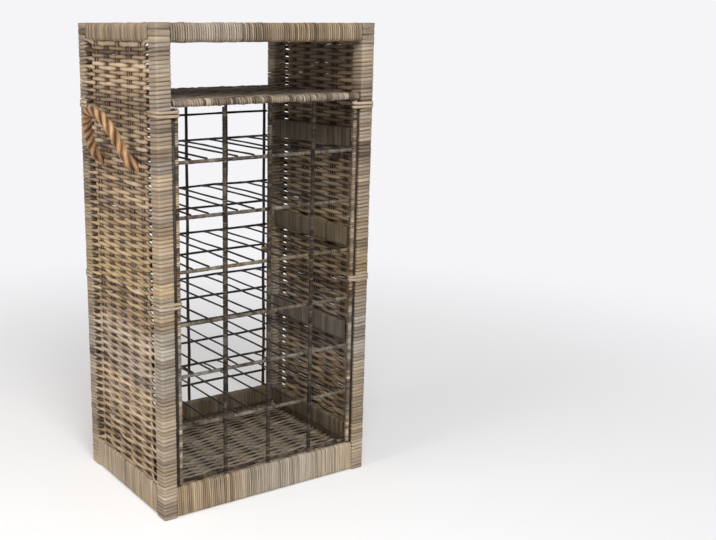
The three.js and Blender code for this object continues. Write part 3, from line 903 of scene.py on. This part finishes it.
def make_rack():
    # The second upright is half as far from the middle as the first one
    lo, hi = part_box("front_upright_2")
    columns = (lo.x + hi.x) * np.linspace(1, -1, COLUMNS + 1)
    centres = (columns[1:] + columns[:-1]) / 2
    radius = (hi.x - lo.x) / 2
    level_tops = [make_level(f"rack_level_{level}", centres) for level in range(1, LEVELS + 1)]
    for i, x in enumerate(columns, 1):
        make_upright(f"front_upright_{i}", x, radius, i in (1, len(columns)))
    make_sill("front_sill_rod")
    make_grille("back_grille", columns, level_tops)


# Ties

def tie_plan(post, tie):
    """A tie's route from above, for the back right-hand post: from the gap beside the panel over the
    post's two outer faces, round the outer upright, and in between the upright and the post."""
    inner_x, outer_x = reach(post[0].x, post[1].x)
    inner_y, outer_y = reach(post[0].y, post[1].y)
    radius = (tie[1].y - tie[0].y) / 2
    rod_x, rod_y = reach(tie[0].x, tie[1].x)[0] + radius, sum(reach(tie[0].y, tie[1].y)) / 2
    inset, bend = radius - TIE_INSET, TIE_BEND + TIE_PROUD
    plan = [(outer_x + TIE_PROUD, inner_y - 1 * MM), (outer_x + TIE_PROUD, outer_y - 2 * TIE_BEND)]
    for a in np.linspace(0, math.pi / 2, 5):
        plan.append((outer_x - TIE_BEND + bend * math.cos(a), outer_y - TIE_BEND + bend * math.sin(a)))
    plan.append((inner_x, outer_y + TIE_PROUD))
    for a in np.linspace(math.pi / 2, 1.5 * math.pi, 9):
        plan.append((rod_x + inset * math.cos(a), rod_y + inset * math.sin(a)))
    plan.append((inner_x + 1 * MM, rod_y - inset))
    return np.array(plan)


def make_tie(node, post, sign, front):
    """Two strands side by side."""
    lo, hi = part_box(node)
    plan = tie_plan(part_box(post), (lo, hi))
    z = (lo.z + hi.z) / 2
    mesh = Strands()
    for offset in (-TIES_APART / 2, TIES_APART / 2):
        height = z + offset + drift(len(plan), 0.5 * MM, 4)
        path = np.column_stack([sign * plan[:, 0], front * plan[:, 1], height])
        out = unit(np.cross(UP, np.gradient(path, axis=0))) * sign * front
        mesh.sweep(path, out, TIE, TIE_WIDE, 0.58 + rng.normal(0, 0.05), 0.4, sides=6)
    mesh.make(f"{node}.turns", [wrap_rattan], [node])


def make_ties():
    for end, front in ENDS:
        for side, sign in SIDES:
            for height in ("upper", "lower"):
                make_tie(f"rod_tie_{end}_{side}_{height}", f"post_wrap_{end}_{side}", sign, front)


# Rope handles

def rope_route(x, z, face):
    """The middle of a right-hand rope, out of the panel, over the arch above x and z, and in again:
    the length up to each of its points, and the points."""
    low = math.asin(FOOT_RISE / HANDLE_REACH)
    a = np.linspace(low, math.pi - low, 150)
    rise = HANDLE_REACH * np.sin(a)
    across = -HANDLE_HALF_SPAN * np.cos(a)
    arch = np.column_stack([x + rise * math.sin(HANDLE_LEAN), across, z + rise * math.cos(HANDLE_LEAN)])
    inside = np.array([face - FOOT_INSIDE, -HANDLE_HALF_SPAN, z - FOOT_DROP])
    bend = np.array([x + BEND_OUT, -HANDLE_HALF_SPAN, z + BEND_RISE])
    t = np.linspace(0, 1, 24)[:-1, None]
    foot = inside * (1 - t) ** 2 + bend * 2 * t * (1 - t) + arch[0] * t ** 2
    rough = np.concatenate([foot, arch, foot[::-1] * (1, -1, 1)])
    run = run_along(rough)
    s = np.linspace(0, run[-1], ROPE_POINTS)
    route = np.column_stack([np.interp(s, run, rough[:, k]) for k in range(3)])
    for _ in range(4):
        route[1:-1] = (route[:-2] + 2 * route[1:-1] + route[2:]) / 4
    return s, route


def make_handle(side, sign, hinge):
    """Three strands of rope, whose feet end inside the panel."""
    panel_lo, panel_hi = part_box(f"side_panel_{side}")
    face = reach(panel_lo.x, panel_hi.x)[1]
    s, route = rope_route(abs(hinge[0]), hinge[2], face)
    route = route * (sign, 1, 1)
    flow = unit(np.gradient(route, axis=0))
    first = unit(np.cross(flow, (0.0, 0.35 * sign, 1.0)))
    second = np.cross(flow, first)
    ends = smooth(1 - s / ROPE_SPLAY_LENGTH) + smooth(1 - (s[-1] - s) / ROPE_SPLAY_LENGTH)
    away = ROPE_STRAND_AWAY * (1 + ROPE_SPLAY * ends)[:, None]
    ribs = 2 * np.pi * np.arange(ROPE_SIDES) / ROPE_SIDES
    yarns = YARN_DEPTH * np.cos(YARNS * ribs - YARN_TWIST * s[:, None])
    rope = Strands()
    for k in range(3):
        turn = 2 * np.pi * (s / ROPE_LAY + k / 3)[:, None]
        outward = first * np.cos(turn) + second * np.sin(turn)
        shape = 1 + yarns + 0.02 * rng.normal(size=yarns.shape)
        # Painted shade where the strands lie together, and painted light on their outward faces
        rope.sweep(route + away * outward, outward, ROPE_STRAND, ROPE_STRAND, 0.06,
                   sides=ROPE_SIDES, shape=shape, groove_shade=0.45, lit=0.1)
    piece = rope.make(f"rope_handle_{side}.rope", [rope_fibre], [f"rope_handle_{side}"], None)
    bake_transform(piece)


def make_knot(node, sign):
    """A coil of rope round a plug, behind the panel, its rope darkened as painted shade."""
    lo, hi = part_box(node)
    y, z = (lo.y + hi.y) / 2, (lo.z + hi.z) / 2
    inner = reach(lo.x, hi.x)[0]
    t = np.linspace(0, 1, 70)
    turn = 2 * np.pi * KNOT_TURNS * t
    radius = KNOT_RADIUS + KNOT_WOBBLE * np.sin(turn * 0.7)
    coil_x = inner + COIL_START + COIL_LENGTH * t
    coil = np.column_stack([sign * coil_x, y + radius * np.cos(turn), z + radius * np.sin(turn)])
    plug_x = inner + np.linspace(*PLUG_ENDS, 6)
    plug = np.column_stack(np.broadcast_arrays(sign * plug_x, y, z))
    knot = Strands()
    knot.sweep(coil, (sign, 0, 0), COIL, COIL_WIDE, KNOT_SHADE, sides=KNOT_SIDES, groove_shade=0)
    knot.sweep(plug, UP, PLUG, PLUG, KNOT_SHADE, sides=KNOT_SIDES, groove_shade=0)
    knot.make(f"{node}.rope", [rope_fibre], [node])


def make_handles():
    joints = {j["child"]: j for j in frame["joints"]}
    for side, sign in SIDES:
        make_handle(side, sign, joints[f"handle_{side}"]["pos_m"])
        for end, _ in ENDS:
            make_knot(f"rope_knot_{side}_{end}", sign)


def paint_poles():
    """The CAD nodes that nothing replaces are the poles inside the posts."""
    for node in frame["nodes"].values():
        if not node.hide_render:
            node.data.materials.clear()
            node.data.materials.append(pole_rattan)


make_posts()
make_rails()
make_panels()
make_rack()
make_ties()
make_handles()
paint_poles()


# Floor, light and camera

PALE = (0.915, 0.91, 0.93, 1.0)
FLOOR_HALF = 8
SOFT_LIGHT = (1.0, 0.985, 0.97, 1.0)
LIT_POINT = (0, 0, 0.5)
# Lamps: name, place, diameter, power and colour
LAMPS = (
    ("key", (-0.9, -2.4, 2.9), 1.8, 105, (0.985, 1.0, 1.0)),
    ("fill", (-2.8, -0.2, 1.9), 1.6, 44, (1.0, 0.93, 0.85)),
)

# The photograph's camera: picture width, focal length and the middle of its view, in pixels
PHOTO_WIDTH = 716
FOCAL_LENGTH = 1018
VIEW_MIDDLE = 240
SENSOR = 36.0
CAMERA_PLACE = (-1.133, -1.896, 0.991)
CAMERA_DOWN = 13.42
CAMERA_TURN = -31.68


def make_floor():
    """A white ground that keeps the shadow near the rack and goes over into the pale background."""
    mesh = bpy.data.meshes.new("floor")
    corners = [(x * FLOOR_HALF, y * FLOOR_HALF, 0) for x, y in ((-1, -1), (1, -1), (1, 1), (-1, 1))]
    mesh.from_pydata(corners, [], [(0, 1, 2, 3)])
    floor = bpy.data.objects.new("floor", mesh)
    bpy.context.scene.collection.objects.link(floor)
    nodes = new_material("floor")
    nodes.put(nodes.shader, "Base Color", (0.9, 0.9, 0.91, 1.0))
    nodes.put(nodes.shader, "Roughness", 0.9)
    nodes.put(nodes.shader, "Specular IOR Level", 0.1)
    away = nodes.add("ShaderNodeVectorMath", {0: nodes.place()}, operation="LENGTH").outputs["Value"]
    share = nodes.span(away, 0.3, 2.4, 0.2, 1.0, "SMOOTHSTEP")
    glow = nodes.add("ShaderNodeEmission", {"Color": PALE, "Strength": 1.0})
    nodes.blend(nodes.math("MULTIPLY", nodes.seen(), share), glow, "Material Output")
    mesh.materials.append(nodes.owner)


def make_world():
    """Soft light, stronger from the front, and the pale background."""
    world = bpy.data.worlds.new("studio")
    bpy.context.scene.world = world
    nodes = Nodes(world, "Background")
    back = nodes.add("ShaderNodeSeparateXYZ", {"Vector": nodes.place("Generated")}).outputs["Y"]
    nodes.put(nodes.shader, "Color", SOFT_LIGHT)
    nodes.put(nodes.shader, "Strength", nodes.span(back, -0.6, 0.8, 0.46, 0.2))
    pale = nodes.add("ShaderNodeBackground", {"Color": PALE, "Strength": 1.0})
    nodes.blend(nodes.seen(), pale, "World Output")


def make_lamp(name, place, size, power, tint):
    data = bpy.data.lights.new(name, "AREA")
    data.shape = "DISK"
    data.size = size
    data.energy = power
    data.color = tint
    lamp = bpy.data.objects.new(name, data)
    lamp.location = place
    lamp.rotation_mode = "QUATERNION"
    lamp.rotation_quaternion = (Vector(LIT_POINT) - Vector(place)).to_track_quat("-Z", "Y")
    bpy.context.scene.collection.objects.link(lamp)


def make_camera():
    data = bpy.data.cameras.new("camera")
    data.sensor_width = SENSOR
    data.lens = FOCAL_LENGTH / PHOTO_WIDTH * SENSOR
    data.shift_x = (PHOTO_WIDTH / 2 - VIEW_MIDDLE) / PHOTO_WIDTH
    camera = bpy.data.objects.new("camera", data)
    camera.location = CAMERA_PLACE
    camera.rotation_euler = (math.radians(90 - CAMERA_DOWN), 0, math.radians(CAMERA_TURN))
    bpy.context.scene.collection.objects.link(camera)
    bpy.context.scene.camera = camera


make_floor()
make_world()
for lamp in LAMPS:
    make_lamp(*lamp)
make_camera()
bpy.context.scene.view_settings.view_transform = "Standard"
